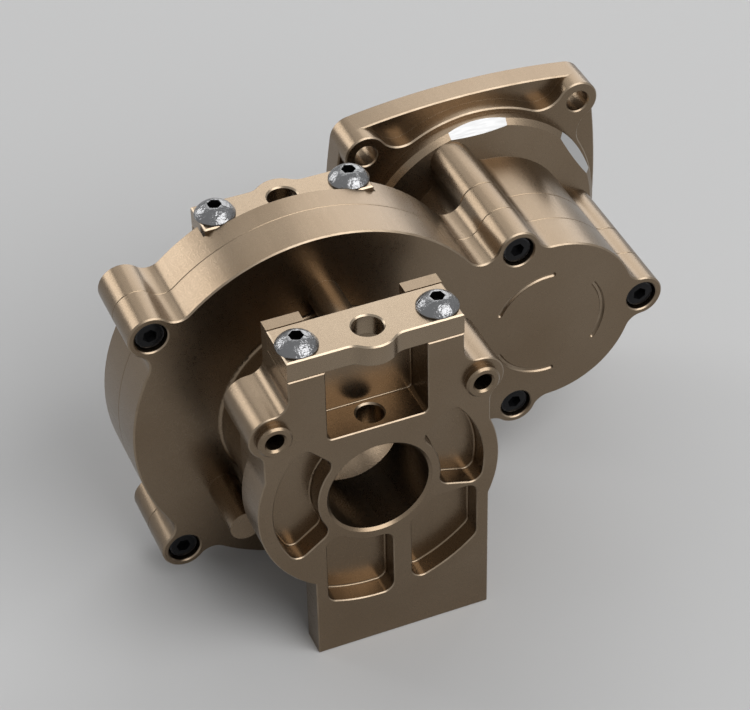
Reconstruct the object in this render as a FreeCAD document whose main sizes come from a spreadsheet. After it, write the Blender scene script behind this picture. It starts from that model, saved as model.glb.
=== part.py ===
import FreeCAD, Part
import math
import os
import re
import Sketcher

# Housing of a small gearbox: front case with its bracket, rear case with its bracket, clutch bell with
# a square engine flange, two link bars and the screws that hold them.
# Frame: X to the right along the front bracket, Y into the depth, Z up, in millimetres. The origin is
# the centre of the front bore where it opens in the bracket's front face.

DRIVING_SIZES = {
    # Main shaft bore and the hub round it
    "bore_radius": 12.0,
    "bore_chamfer": 0.65,
    "seat_depth": 17.8,
    "hub_radius": 25.0,
    "hub_wall": 4.0,
    "hub_fillet": 1.0,
    # Lengths along the shaft, from the bracket's front face back
    "case_front": 33.3,
    "cover_depth": 10.6,
    "rear_case_depth": 10.6,
    "rear_bracket_depth": 5.2,
    "notch_depth": 6.2,
    "notch_side_gap": 0.4,
    "neck_length": 16.1,
    "drum_face_rise": 1.9,
    "pad_setback": 4.0,
    "pad_rise": 4.0,
    "flange_thickness": 6.5,
    # Round case and the lobe beside it
    "case_radius": 46.0,
    "case_wall": 3.5,
    "lobe_offset": 11.0,
    "lobe_height": 3.1,
    "lobe_radius": 22.5,
    "blend_radius": 4.0,
    "lobe_bore_radius": 11.0,
    # Screw lugs, each at an angle round its disc and a reach past that disc's edge
    "lug_wall": 1.55,
    "upper_left_angle": 142.05,
    "upper_left_reach": 4.1,
    "lower_left_angle": 223.2,
    "lower_left_reach": 3.8,
    "lobe_upper_angle": 108.9,
    "lobe_upper_reach": 2.25,
    "lobe_end_angle": -0.2,
    "lobe_end_reach": 2.0,
    "lobe_lower_angle": 250.5,
    "lobe_lower_reach": 1.5,
    # Engraved arcs on the lobe
    "arc_radius": 14.05,
    "arc_width": 1.3,
    "arc_depth": 0.5,
    "arc_span": 73.0,
    "arc_end_radius": 0.6,
    "arc_bevel": 0.35,
    # Bracket plate with its foot
    "disc_radius": 28.8,
    "disc_thickness": 10.0,
    "foot_left": -16.0,
    "foot_right": 26.4,
    "foot_drop": 46.05,
    "foot_thickness": 6.8,
    "waist_half_width": 26.6,
    "head_half_width": 20.3,
    "head_depth": 15.3,
    "seat_height": 37.4,
    "head_fillet": 3.6,
    # Side lugs with their raised collars
    "ear_across": 24.2,
    "ear_height": 23.4,
    "ear_radius": 5.6,
    "collar_radius": 4.0,
    "collar_rise": 1.8,
    "collar_hole_radius": 2.1,
    "collar_chamfer": 0.5,
    "collar_bevel": 0.5,
    "ear_hole_depth": 14.0,
    # Pockets of the front face
    "pocket_depth": 4.8,
    "web_inner_radius": 14.7,
    "kidney_outer_radius": 25.2,
    "left_kidney_start": 134.5,
    "left_kidney_end": 217.0,
    "right_kidney_start": -16.5,
    "right_kidney_end": 46.5,
    "foot_pocket_radius": 32.8,
    "foot_pocket_drop": 7.6,
    "foot_wall": 2.9,
    "foot_rib": 4.5,
    "pocket_corner": 2.6,
    # Slot for the link under the bar
    "slot_half_width": 11.8,
    "slot_floor": 18.2,
    "slot_depth": 9.3,
    "slot_corner": 1.2,
    "slot_fillet": 0.4,
    "pivot_depth": 4.9,
    "rear_pivot_depth": 4.75,
    "floor_hole_radius": 3.1,
    "floor_hole_depth": 5.0,
    "floor_hole_chamfer": 0.4,
    # Link bars
    "bar_thickness": 5.4,
    "front_bar_depth": 12.0,
    "bar_hole_radius": 3.5,
    "bar_hole_chamfer": 0.35,
    "bulge_rise": 2.5,
    "bulge_radius": 6.2,
    "bulge_blend": 4.0,
    "bar_fit": 0.05,
    "shoulder_gap_half": 11.7,
    # Bosses beside the hub
    "boss_radius": 3.8,
    "boss_front": 19.0,
    "top_boss_across": 1.0,
    "top_boss_height": 30.0,
    "low_boss_across": 25.5,
    "low_boss_drop": 18.5,
    "boss_hole_radius": 1.65,
    "boss_hole_depth": 10.0,
    # Clutch bell and engine flange
    "drum_radius": 31.5,
    "drum_chamfer": 1.3,
    "pad_ledge": 1.2,
    "bell_radius": 28.6,
    "bell_floor": 75.0,
    "neck_wall": 4.0,
    "flange_side_radius": 190.0,
    "flange_bolt_half": 27.8,
    "flange_hole_radius": 2.75,
    "flange_hole_chamfer": 0.3,
    "flange_corner_radius": 5.3,
    "flange_pocket_blend": 6.0,
    "facet_lean": 45.0,
    "facet_reach": 29.3,
    "facet_one_angle": 90.5,
    "facet_two_angle": 30.5,
    # Screws
    "bar_screw_across": 16.15,
    "bar_screw_radius": 2.5,
    "bar_screw_head_radius": 4.75,
    "bar_screw_head_height": 2.75,
    "bar_screw_length": 16.0,
    "bar_screw_socket": 3.0,
    "bar_screw_crown": 1.95,
    "case_screw_radius": 2.0,
    "case_screw_head_radius": 3.5,
    "case_screw_head_height": 4.0,
    "case_screw_socket": 3.0,
    "case_screw_recess": 5.0,
    "case_screw_short": 10.0,
    "case_screw_long": 25.0,
    "socket_depth": 2.0,
    "head_edge": 0.4,
    "counterbore_radius": 3.85,
    "screw_clearance": 0.2,
    "thread_clearance": 0.05,
    "tap_run_out": 2.0,
    # Broken edges
    "edge_break": 0.35,
    "joint_break": 0.15,
    "face_break": 0.25,
    "floor_fillet": 0.5,
    # Room that a cutting shape has past the face it opens
    "overcut": 1.0,
}

# What follows from the sizes above: stations along the shaft and the centres of lobe and lugs
DERIVED_SIZES = {
    "joint_one": "case_front + cover_depth",
    "joint_two": "joint_one + rear_case_depth",
    "notch_front": "joint_one + notch_depth",
    "rear_face": "joint_two + rear_bracket_depth",
    "drum_root": "joint_two + neck_length",
    "drum_rim": "drum_root + drum_face_rise",
    "drum_shoulder": "drum_rim + drum_chamfer",
    "pad_front": "drum_rim + pad_setback",
    "flange_front": "pad_front + pad_rise",
    "flange_rear": "flange_front + flange_thickness",
    "lobe_across": "case_radius + lobe_offset",
    "upper_left_across": "(case_radius + upper_left_reach) * cos(upper_left_angle)",
    "upper_left_height": "(case_radius + upper_left_reach) * sin(upper_left_angle)",
    "lower_left_across": "(case_radius + lower_left_reach) * cos(lower_left_angle)",
    "lower_left_height": "(case_radius + lower_left_reach) * sin(lower_left_angle)",
    "lobe_upper_across": "lobe_across + (lobe_radius + lobe_upper_reach) * cos(lobe_upper_angle)",
    "lobe_upper_height": "lobe_height + (lobe_radius + lobe_upper_reach) * sin(lobe_upper_angle)",
    "lobe_end_across": "lobe_across + (lobe_radius + lobe_end_reach) * cos(lobe_end_angle)",
    "lobe_end_height": "lobe_height + (lobe_radius + lobe_end_reach) * sin(lobe_end_angle)",
    "lobe_lower_across": "lobe_across + (lobe_radius + lobe_lower_reach) * cos(lobe_lower_angle)",
    "lobe_lower_height": "lobe_height + (lobe_radius + lobe_lower_reach) * sin(lobe_lower_angle)",
}

doc = FreeCAD.newDocument("GearboxHousing")
sheet = doc.addObject("Spreadsheet::Sheet", "Sizes")
for row, (alias, number) in enumerate(DRIVING_SIZES.items(), start=1):
    sheet.set("A%d" % row, alias)
    sheet.set("B%d" % row, "%.6g" % number)
    sheet.setAlias("B%d" % row, alias)
for row, (alias, formula) in enumerate(DERIVED_SIZES.items(), start=1):
    sheet.set("C%d" % row, alias)
    sheet.set("D%d" % row, "=" + formula)
    sheet.setAlias("D%d" % row, alias)
    doc.recompute()
doc.recompute()


def size(alias):
    """The number in the sheet's cell of that name."""
    return float(sheet.get(alias))


def bind(item, prop, formula):
    """Ties a property to a formula of the sheet's names, such as 'joint_two - joint_one'."""
    item.setExpression(prop, re.sub(r"[a-z][a-z_]*", r"Sizes.\g<0>", formula))


# Basic solids, each tied to the sheet


def rod_along_depth(name, across, height, front, rear, radius):
    """A round rod from front to rear, along Y."""
    rod = doc.addObject("Part::Cylinder", name)
    rod.Placement = FreeCAD.Placement(FreeCAD.Vector(), FreeCAD.Rotation(FreeCAD.Vector(1, 0, 0), 90))
    bind(rod, "Radius", radius)
    bind(rod, "Height", "(%s) - (%s)" % (rear, front))
    bind(rod, "Placement.Base.x", across)
    bind(rod, "Placement.Base.y", rear)
    bind(rod, "Placement.Base.z", height)
    return rod


def cone_along_depth(name, across, height, front, rear, front_radius, rear_radius):
    """A round cone from front to rear, along Y."""
    cone = doc.addObject("Part::Cone", name)
    cone.Placement = FreeCAD.Placement(FreeCAD.Vector(), FreeCAD.Rotation(FreeCAD.Vector(1, 0, 0), 90))
    bind(cone, "Radius1", rear_radius)
    bind(cone, "Radius2", front_radius)
    bind(cone, "Height", "(%s) - (%s)" % (rear, front))
    bind(cone, "Placement.Base.x", across)
    bind(cone, "Placement.Base.y", rear)
    bind(cone, "Placement.Base.z", height)
    return cone


def rod_upright(name, across, depth, bottom, top, radius):
    """A round rod from bottom to top, along Z."""
    rod = doc.addObject("Part::Cylinder", name)
    bind(rod, "Radius", radius)
    bind(rod, "Height", "(%s) - (%s)" % (top, bottom))
    bind(rod, "Placement.Base.x", across)
    bind(rod, "Placement.Base.y", depth)
    bind(rod, "Placement.Base.z", bottom)
    return rod


def block(name, left, right, front, rear, bottom, top):
    """A box between six faces."""
    box = doc.addObject("Part::Box", name)
    bind(box, "Length", "(%s) - (%s)" % (right, left))
    bind(box, "Width", "(%s) - (%s)" % (rear, front))
    bind(box, "Height", "(%s) - (%s)" % (top, bottom))
    bind(box, "Placement.Base.x", left)
    bind(box, "Placement.Base.y", front)
    bind(box, "Placement.Base.z", bottom)
    return box


def fuse(name, solids):
    """One solid from several that meet."""
    joined = doc.addObject("Part::MultiFuse", name)
    joined.Shapes = solids
    joined.Refine = True
    doc.recompute()
    return joined


def cut(name, base, tools):
    """The base less the tools, checked to have lost volume."""
    tool = tools[0]
    if len(tools) > 1:
        tool = doc.addObject("Part::Compound", name + "_tools")
        tool.Links = tools
    carved = doc.addObject("Part::Cut", name)
    carved.Base = base
    carved.Tool = tool
    carved.Refine = True
    doc.recompute()
    if not carved.Shape.Volume < base.Shape.Volume:
        raise ValueError(name + " removed nothing")
    return carved


def common(name, base, tool):
    """What two solids share."""
    shared = doc.addObject("Part::Common", name)
    shared.Base = base
    shared.Tool = tool
    doc.recompute()
    return shared


def round_edges(name, base, alias, wanted):
    """Fillets every edge of the base for which wanted(edge) is true."""
    rounded = doc.addObject("Part::Fillet", name)
    rounded.Base = base
    doc.recompute()
    radius = size(alias)
    picks = []
    for index, edge in enumerate(base.Shape.Edges, start=1):
        if wanted(edge):
            picks.append((index, radius, radius))
    if not picks:
        raise ValueError(name + " found no edge")
    rounded.Edges = picks
    doc.recompute()
    return rounded


def bevel_edges(name, base, alias, wanted):
    """Chamfers every edge of the base for which wanted(edge) is true."""
    beveled = doc.addObject("Part::Chamfer", name)
    beveled.Base = base
    doc.recompute()
    width = size(alias)
    picks = []
    for index, edge in enumerate(base.Shape.Edges, start=1):
        if wanted(edge):
            picks.append((index, width, width))
    if not picks:
        raise ValueError(name + " found no edge")
    beveled.Edges = picks
    doc.recompute()
    return beveled


NEAR = 1e-3


def runs_along_depth(edge):
    """True for a straight edge parallel to Y."""
    if not isinstance(edge.Curve, (Part.Line, Part.LineSegment)):
        return False
    step = edge.Vertexes[-1].Point - edge.Vertexes[0].Point
    return abs(step.x) < NEAR and abs(step.z) < NEAR


def on_circle(edge, across, height, radius):
    """True where an edge's ends lie at that radius from an axis along Y."""
    for corner in edge.Vertexes:
        if abs(math.hypot(corner.X - across, corner.Z - height) - radius) > NEAR:
            return False
    return True


def in_depth_plane(edge, level):
    """True for an edge that lies in the plane at that depth."""
    spots = [corner.Y for corner in edge.Vertexes] + [edge.CenterOfMass.y]
    return all(abs(spot - level) < NEAR for spot in spots)


def rim_at(edge, axis, level, radius):
    """True for a full circle of that radius in the plane at that level along Y or Z."""
    if not isinstance(edge.Curve, Part.Circle):
        return False
    place = {"y": edge.Curve.Center.y, "z": edge.Curve.Center.z}[axis]
    return abs(place - level) < NEAR and abs(edge.Curve.Radius - radius) < NEAR


# Outlines in the plane of the bracket, made of arcs that run into each other


def arc_between(centre, radius, start, end):
    """The arc round a centre, counterclockwise from one point to another."""
    first = math.atan2(start[1] - centre[1], start[0] - centre[0])
    last = math.atan2(end[1] - centre[1], end[0] - centre[0])
    if last < first:
        last += 2 * math.pi
    circle = Part.Circle(FreeCAD.Vector(centre[0], centre[1], 0), FreeCAD.Vector(0, 0, 1), radius)
    return Part.ArcOfCircle(circle, first, last)


def toward(start, end, distance):
    """The point that lies that far from start, in the direction of end."""
    length = math.dist(start, end)
    share = distance / length
    return (start[0] + (end[0] - start[0]) * share, start[1] + (end[1] - start[1]) * share)


def blended_outline(discs, blend):
    """A closed line round discs given counterclockwise, with a hollow blend between neighbours."""
    centres = []
    for index, (x, z, radius) in enumerate(discs):
        far_x, far_z, far_radius = discs[(index + 1) % len(discs)]
        span = math.hypot(far_x - x, far_z - z)
        reach = radius + blend
        far_reach = far_radius + blend
        along = (span ** 2 + reach ** 2 - far_reach ** 2) / (2 * span)
        aside = math.sqrt(reach ** 2 - along ** 2)
        step = ((far_x - x) / span, (far_z - z) / span)
        centres.append((x + along * step[0] + aside * step[1], z + along * step[1] - aside * step[0]))
    lines = []
    for index, (x, z, radius) in enumerate(discs):
        here = (x, z)
        following = discs[(index + 1) % len(discs)]
        start = toward(here, centres[index - 1], radius)
        end = toward(here, centres[index], radius)
        next_start = toward(following[:2], centres[index], following[2])
        lines.append(arc_between(here, radius, start, end))
        lines.append(arc_between(centres[index], blend, next_start, end))
    return lines


def sector_outline(inner, outer, start, end):
    """A piece of a ring between two radii and two angles in degrees."""
    corners = {}
    for radius in (inner, outer):
        for angle in (start, end):
            turn = math.radians(angle)
            corners[radius, angle] = (radius * math.cos(turn), radius * math.sin(turn))
    lines = [
        arc_between((0, 0), outer, corners[outer, start], corners[outer, end]),
        arc_between((0, 0), inner, corners[inner, start], corners[inner, end]),
    ]
    for angle in (start, end):
        near = corners[inner, angle]
        far = corners[outer, angle]
        lines.append(Part.LineSegment(FreeCAD.Vector(near[0], near[1], 0),
                                      FreeCAD.Vector(far[0], far[1], 0)))
    return lines


def closed_polyline(points):
    """Straight lines from point to point and back to the first."""
    lines = []
    for start, end in zip(points, points[1:] + points[:1]):
        lines.append(Part.LineSegment(FreeCAD.Vector(start[0], start[1], 0),
                                      FreeCAD.Vector(end[0], end[1], 0)))
    return lines


def origin_plane(body, role):
    """One of the body's own origin planes."""
    for feature in body.Origin.OriginFeatures:
        if feature.Role == role:
            return feature
    raise ValueError(role)


def ease_edges(body, kind, name, last, wanted, prop, formula):
    """A fillet or chamfer of a body on the edges of its last feature for which wanted(edge) is true."""
    edges = []
    for index, edge in enumerate(last.Shape.Edges, start=1):
        if wanted(edge):
            edges.append("Edge%d" % index)
    if not edges:
        raise ValueError(name + " found no edge")
    eased = body.newObject(kind, name)
    eased.Base = (last, edges)
    bind(eased, prop, formula)
    doc.recompute()
    return eased


def plate_from_outline(name, lines, front, rear, corner=None, front_break=None, rear_break=None):
    """A body padded from front to rear over an outline, with rounded corners or broken edges if asked."""
    body = doc.addObject("PartDesign::Body", name)
    sketch = body.newObject("Sketcher::SketchObject", name + "_outline")
    sketch.AttachmentSupport = [(origin_plane(body, "XZ_Plane"), "")]
    sketch.MapMode = "FlatFace"
    bind(sketch, "AttachmentOffset.Base.z", "-(%s)" % front)
    sketch.addGeometry(lines, False)
    pad = body.newObject("PartDesign::Pad", name + "_pad")
    pad.Profile = sketch
    pad.Reversed = True
    bind(pad, "Length", "(%s) - (%s)" % (rear, front))
    doc.recompute()
    last = pad
    if corner:
        last = ease_edges(body, "PartDesign::Fillet", name + "_corners", last, runs_along_depth,
                          "Radius", corner)
    box = pad.Shape.BoundBox
    for side, level, width in (("front", box.YMin, front_break), ("rear", box.YMax, rear_break)):
        if not width:
            continue

        def on_that_side(edge):
            return in_depth_plane(edge, level)

        last = ease_edges(body, "PartDesign::Chamfer", name + "_" + side + "_break", last, on_that_side,
                          "Size", width)
    return body


def turned_along_depth(name, points, across, height):
    """A turned body about an axis along Y, from points of a half-profile as radius and depth."""
    body = doc.addObject("PartDesign::Body", name)
    sketch = body.newObject("Sketcher::SketchObject", name + "_profile")
    sketch.AttachmentSupport = [(origin_plane(body, "XY_Plane"), "")]
    sketch.MapMode = "FlatFace"
    sketch.addGeometry(closed_polyline(points), False)
    turned = body.newObject("PartDesign::Revolution", name + "_turned")
    turned.Profile = sketch
    turned.ReferenceAxis = (sketch, ["V_Axis"])
    turned.Angle = 360
    bind(body, "Placement.Base.x", across)
    bind(body, "Placement.Base.z", height)
    doc.recompute()
    return body


def sub_part(item, label):
    """Names a finished piece."""
    item.Label = label
    return item


# Case outline: the round case, the lobe and their screw lugs

LUG_RADIUS = size("counterbore_radius") + size("lug_wall")
CASE_DISC = (0.0, 0.0, size("case_radius"))
LOBE_DISC = (size("lobe_across"), size("lobe_height"), size("lobe_radius"))
UPPER_LEFT = (size("upper_left_across"), size("upper_left_height"), LUG_RADIUS)
LOWER_LEFT = (size("lower_left_across"), size("lower_left_height"), LUG_RADIUS)
LOBE_UPPER = (size("lobe_upper_across"), size("lobe_upper_height"), LUG_RADIUS)
LOBE_END = (size("lobe_end_across"), size("lobe_end_height"), LUG_RADIUS)
LOBE_LOWER = (size("lobe_lower_across"), size("lobe_lower_height"), LUG_RADIUS)


def case_outline():
    """Case, lobe and all five lugs, counterclockwise from the lobe's end."""
    discs = [LOBE_END, LOBE_DISC, LOBE_UPPER, CASE_DISC, UPPER_LEFT, CASE_DISC, LOWER_LEFT, CASE_DISC,
             LOBE_LOWER, LOBE_DISC]
    return blended_outline(discs, size("blend_radius"))


def lobe_outline():
    """The lobe alone with its three lugs."""
    discs = [LOBE_END, LOBE_DISC, LOBE_UPPER, LOBE_DISC, LOBE_LOWER, LOBE_DISC]
    return blended_outline(discs, size("blend_radius"))


def lobe_rod(name, front, rear, radius):
    """A rod on the lobe's axis."""
    return rod_along_depth(name, "lobe_across", "lobe_height", front, rear, radius)


def shaft_rod(name, front, rear, radius):
    """A rod on the main shaft's axis."""
    return rod_along_depth(name, "0", "0", front, rear, radius)


CASE_SCREWS = {
    "case_screw_upper_left": ("upper_left_across", "upper_left_height", "case_screw_short"),
    "case_screw_lower_left": ("lower_left_across", "lower_left_height", "case_screw_short"),
    "lobe_screw_upper": ("lobe_upper_across", "lobe_upper_height", "case_screw_long"),
    "lobe_screw_end": ("lobe_end_across", "lobe_end_height", "case_screw_long"),
    "lobe_screw_lower": ("lobe_lower_across", "lobe_lower_height", "case_screw_long"),
}


def case_screw_holes(prefix, front, rear, radius, only_long=False):
    """Holes on the case screws' axes."""
    holes = []
    for screw, (across, height, length) in CASE_SCREWS.items():
        if only_long and length == "case_screw_short":
            continue
        holes.append(rod_along_depth(prefix + screw, across, height, front, rear, radius))
    return holes


# Bracket: a plate with a round body, a foot, two ears and the seat of the link bar. The front one
# stands at the origin; the rear one is its mirror image against the rear face of the case.


def bracket(prefix, outer, inward, disc_end, head_end, foot_end):
    """The solid bracket between its outer face and three depths further in."""

    def span(depth):
        return (outer, depth) if inward > 0 else (depth, outer)

    disc = shaft_rod(prefix + "_disc", *span(disc_end), "disc_radius")
    foot = block(prefix + "_foot", "foot_left", "foot_right", *span(foot_end), "-foot_drop", "0")
    waist = block(prefix + "_waist", "-waist_half_width", "waist_half_width", *span(head_end), "0",
                  "ear_height")
    head = block(prefix + "_head", "-head_half_width", "head_half_width", *span(head_end), "0",
                 "seat_height")
    ears = []
    for side, sign in (("left", "-"), ("right", "")):
        ears.append(rod_along_depth(prefix + "_ear_" + side, sign + "ear_across", "ear_height",
                                    *span(head_end), "ear_radius"))
    upper = fuse(prefix + "_upper", [waist, head] + ears)
    ear_spots = [(-size("ear_across"), size("ear_height")), (size("ear_across"), size("ear_height"))]

    def beside_ear(edge):
        return runs_along_depth(edge) and any(
            on_circle(edge, x, z, size("ear_radius")) for x, z in ear_spots)

    upper = round_edges(prefix + "_upper_blends", upper, "head_fillet", beside_ear)
    return [disc, foot, upper]


# Front case with the front bracket

cover = plate_from_outline("cover", case_outline(), "case_front", "joint_one", None, "edge_break",
                           "joint_break")
front_hub = shaft_rod("front_hub", "foot_thickness", "case_front + case_wall", "hub_radius")
cover = fuse("cover_with_hub", [cover, front_hub])


def at_hub_root(edge):
    return rim_at(edge, "y", size("case_front"), size("hub_radius"))


cover = round_edges("hub_root", cover, "hub_fillet", at_hub_root)
front_bracket = bracket("front", "0", 1, "disc_thickness", "head_depth", "foot_thickness")
shoulder_top = "seat_height + bar_thickness"
shoulders = []
for side, near, far in (("left", "-head_half_width", "-shoulder_gap_half"),
                        ("right", "shoulder_gap_half", "head_half_width")):
    shoulders.append(block("shoulder_" + side, near, far, "front_bar_depth + bar_fit", "head_depth",
                           "ear_height", shoulder_top))


def on_collar_rim(edge):
    return rim_at(edge, "y", -size("collar_rise"), size("collar_radius"))


collars = []
for side, sign in (("left", "-"), ("right", "")):
    collar = rod_along_depth("collar_" + side, sign + "ear_across", "ear_height", "-collar_rise",
                             "foot_thickness", "collar_radius")
    collars.append(bevel_edges("collar_bevel_" + side, collar, "collar_bevel", on_collar_rim))
boss_spots = [("top_boss_across", "top_boss_height"), ("-low_boss_across", "-low_boss_drop"),
              ("low_boss_across", "-low_boss_drop")]
bosses = []
for number, (across, height) in enumerate(boss_spots, start=1):
    bosses.append(rod_along_depth("boss_%d" % number, across, height, "boss_front",
                                  "case_front + case_wall", "boss_radius"))
front_solid = fuse("front_solid", [cover] + front_bracket + shoulders + collars + bosses)


def pocket_body(name, lines, front, rear):
    """A pocket's shape with rounded corners."""
    return plate_from_outline(name, lines, front, rear, "pocket_corner")


def kidney(name, start, end):
    """A pocket that follows the bore."""
    lines = sector_outline(size("web_inner_radius"), size("kidney_outer_radius"), size(start), size(end))
    return pocket_body(name, lines, "-overcut", "pocket_depth")


def on_pocket_floor(edge):
    return in_depth_plane(edge, size("pocket_depth"))


def foot_pocket(name, left, right, top):
    """A pocket of the foot, between two walls, the bore's web and an arc below."""
    inner = shaft_rod(name + "_inner", "-2 * overcut", "pocket_depth + overcut", "web_inner_radius")
    outer = shaft_rod(name + "_outer", "-overcut", "pocket_depth", "foot_pocket_radius")
    field = block(name + "_field", left, right, "-2 * overcut", "pocket_depth + overcut",
                  "-foot_drop", top)
    shape = common(name + "_arc", outer, field)
    shape = cut(name + "_clear", shape, [inner])
    return round_edges(name, shape, "pocket_corner", runs_along_depth)


middle_of_foot = "(foot_left + foot_right) / 2"
pockets = [
    kidney("left_kidney", "left_kidney_start", "left_kidney_end"),
    kidney("right_kidney", "right_kidney_start", "right_kidney_end"),
    foot_pocket("left_foot_pocket", "foot_left + foot_wall", middle_of_foot + " - foot_rib / 2", "0"),
    foot_pocket("right_foot_pocket", middle_of_foot + " + foot_rib / 2", "foot_right - foot_wall",
                "-foot_pocket_drop"),
]
pockets = [round_edges(pocket.Name + "_floor", pocket, "floor_fillet", on_pocket_floor)
           for pocket in pockets]


def link_slot(prefix, front, rear):
    """The slot under a link bar, with its lower corners and the foot of its blind end rounded."""
    slot = block(prefix + "_slot_box", "-slot_half_width", "slot_half_width", front, rear, "slot_floor",
                 "seat_height + overcut")

    def lower_corner(edge):
        return runs_along_depth(edge) and abs(edge.Vertexes[0].Z - size("slot_floor")) < NEAR

    slot = round_edges(prefix + "_slot_corners", slot, "slot_corner", lower_corner)
    blind_end = {"front": size("slot_depth"), "rear": size("rear_face") - size("slot_depth")}[prefix]

    def round_the_blind_end(edge):
        return in_depth_plane(edge, blind_end)

    return round_edges(prefix + "_slot", slot, "slot_fillet", round_the_blind_end)


def bar_screw_holes(prefix, depth):
    """Threaded holes under a link bar."""
    holes = []
    for side, sign in (("left", "-"), ("right", "")):
        holes.append(rod_upright(prefix + "_bar_tap_" + side, sign + "bar_screw_across", depth,
                                 "seat_height + bar_thickness - bar_screw_length - tap_run_out",
                                 "seat_height + overcut", "bar_screw_radius + thread_clearance"))
    return holes


def floor_hole(prefix, depth):
    """The pivot's hole in the slot's floor, with its chamfered mouth."""
    hole = rod_upright(prefix + "_floor_hole", "0", depth, "slot_floor - floor_hole_depth",
                       "slot_floor + overcut", "floor_hole_radius")
    mouth = doc.addObject("Part::Cone", prefix + "_floor_mouth")
    bind(mouth, "Radius1", "floor_hole_radius")
    bind(mouth, "Radius2", "floor_hole_radius + 2 * floor_hole_chamfer")
    bind(mouth, "Height", "2 * floor_hole_chamfer")
    bind(mouth, "Placement.Base.y", depth)
    bind(mouth, "Placement.Base.z", "slot_floor - floor_hole_chamfer")
    return [hole, mouth]


front_tools = pockets + [link_slot("front", "-overcut", "slot_depth")]
front_tools += floor_hole("front", "pivot_depth")
front_tools += bar_screw_holes("front", "pivot_depth")
front_tools.append(shaft_rod("front_bore", "-overcut", "seat_depth + overcut", "bore_radius"))
front_tools.append(cone_along_depth("front_bore_mouth", "0", "0", "-overcut", "bore_chamfer",
                                    "bore_radius + bore_chamfer + overcut", "bore_radius"))
front_tools.append(shaft_rod("front_hub_room", "seat_depth", "joint_one + overcut",
                             "hub_radius - hub_wall"))
front_tools.append(shaft_rod("front_case_room", "case_front + case_wall", "joint_one + overcut",
                             "case_radius - case_wall"))
front_tools.append(lobe_rod("front_lobe_room", "case_front + case_wall", "joint_one + overcut",
                            "lobe_radius - case_wall"))
for side, sign in (("left", "-"), ("right", "")):
    across = sign + "ear_across"
    front_tools.append(rod_along_depth("ear_hole_" + side, across, "ear_height", "-collar_rise - overcut",
                                       "ear_hole_depth", "collar_hole_radius"))
    front_tools.append(cone_along_depth("ear_mouth_" + side, across, "ear_height",
                                        "-collar_rise - overcut", "-collar_rise + collar_chamfer",
                                        "collar_hole_radius + collar_chamfer + overcut",
                                        "collar_hole_radius"))
front_tools += case_screw_holes("recess_", "case_front - overcut", "case_front + case_screw_recess",
                                "counterbore_radius")
front_tools += case_screw_holes("front_clear_", "case_front", "joint_one + overcut",
                                "case_screw_radius + screw_clearance")
for number, (across, height) in enumerate(boss_spots, start=1):
    front_tools.append(rod_along_depth("boss_hole_%d" % number, across, height,
                                       "case_front + case_wall - boss_hole_depth",
                                       "case_front + case_wall + overcut", "boss_hole_radius"))
for number, middle in enumerate((0, 120, 240), start=1):
    half = size("arc_span") / 2
    ring = sector_outline(size("arc_radius") - size("arc_width") / 2,
                          size("arc_radius") + size("arc_width") / 2, middle - half, middle + half)
    groove = plate_from_outline("lobe_arc_%d" % number, ring, "case_front - overcut",
                                "case_front + arc_depth", "arc_end_radius", None, "arc_bevel")
    bind(groove, "Placement.Base.x", "lobe_across")
    bind(groove, "Placement.Base.z", "lobe_height")
    front_tools.append(groove)
front_carved = cut("front_carved", front_solid, front_tools)


def on_bracket_face(edge):
    """True for the outline, pockets and slot in the bracket's face, and false for its round holes."""
    if not in_depth_plane(edge, 0):
        return False
    for radius in (size("collar_radius"), size("bore_radius") + size("bore_chamfer")):
        if rim_at(edge, "y", 0, radius):
            return False
    return True


front_housing = bevel_edges("front_edges", front_carved, "face_break", on_bracket_face)
front_housing = sub_part(front_housing, "front_housing")

# Rear case with the rear bracket

rear_case = plate_from_outline("rear_case", case_outline(), "joint_one", "joint_two", None,
                               "joint_break", "face_break")
rear_bracket = bracket("rear", "rear_face", -1, "joint_two - overcut", "joint_two - overcut",
                       "rear_face - foot_thickness")
rear_solid = fuse("rear_solid", [rear_case] + rear_bracket)
rear_tools = [link_slot("rear", "rear_face - slot_depth", "rear_face + overcut")]
rear_tools += floor_hole("rear", "rear_face - rear_pivot_depth")
rear_tools += bar_screw_holes("rear", "rear_face - rear_pivot_depth")
# The notch in the case's rim where the rear link bar sits
rear_tools.append(block("rear_bar_notch", "-head_half_width - notch_side_gap",
                        "head_half_width + notch_side_gap", "notch_front", "rear_face + overcut",
                        "seat_height", "case_radius + overcut"))
rear_tools.append(shaft_rod("rear_bore", "joint_one", "rear_face + overcut", "bore_radius"))
rear_tools.append(cone_along_depth("rear_bore_mouth", "0", "0", "rear_face - bore_chamfer",
                                   "rear_face + overcut", "bore_radius",
                                   "bore_radius + bore_chamfer + overcut"))
rear_tools.append(shaft_rod("rear_case_room", "joint_one - overcut", "notch_front - case_wall",
                            "case_radius - case_wall"))
rear_tools.append(lobe_rod("rear_lobe_room", "joint_one - overcut", "joint_two - case_wall",
                           "lobe_radius - case_wall"))
rear_tools.append(lobe_rod("rear_lobe_bore", "joint_one - overcut", "joint_two + overcut",
                           "lobe_bore_radius"))
rear_tools += case_screw_holes("rear_clear_", "joint_one - overcut", "joint_two + overcut",
                               "case_screw_radius + screw_clearance", only_long=True)
for screw in ("case_screw_upper_left", "case_screw_lower_left"):
    across, height, length = CASE_SCREWS[screw]
    rear_tools.append(rod_along_depth("rear_tap_" + screw, across, height, "joint_one - overcut",
                                      "joint_two + overcut", "case_screw_radius + thread_clearance"))
rear_housing = sub_part(cut("rear_housing", rear_solid, rear_tools), "rear_housing")

# Clutch bell: neck with the lobe's outline, drum, square flange with bowed sides and raised corner pads

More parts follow.
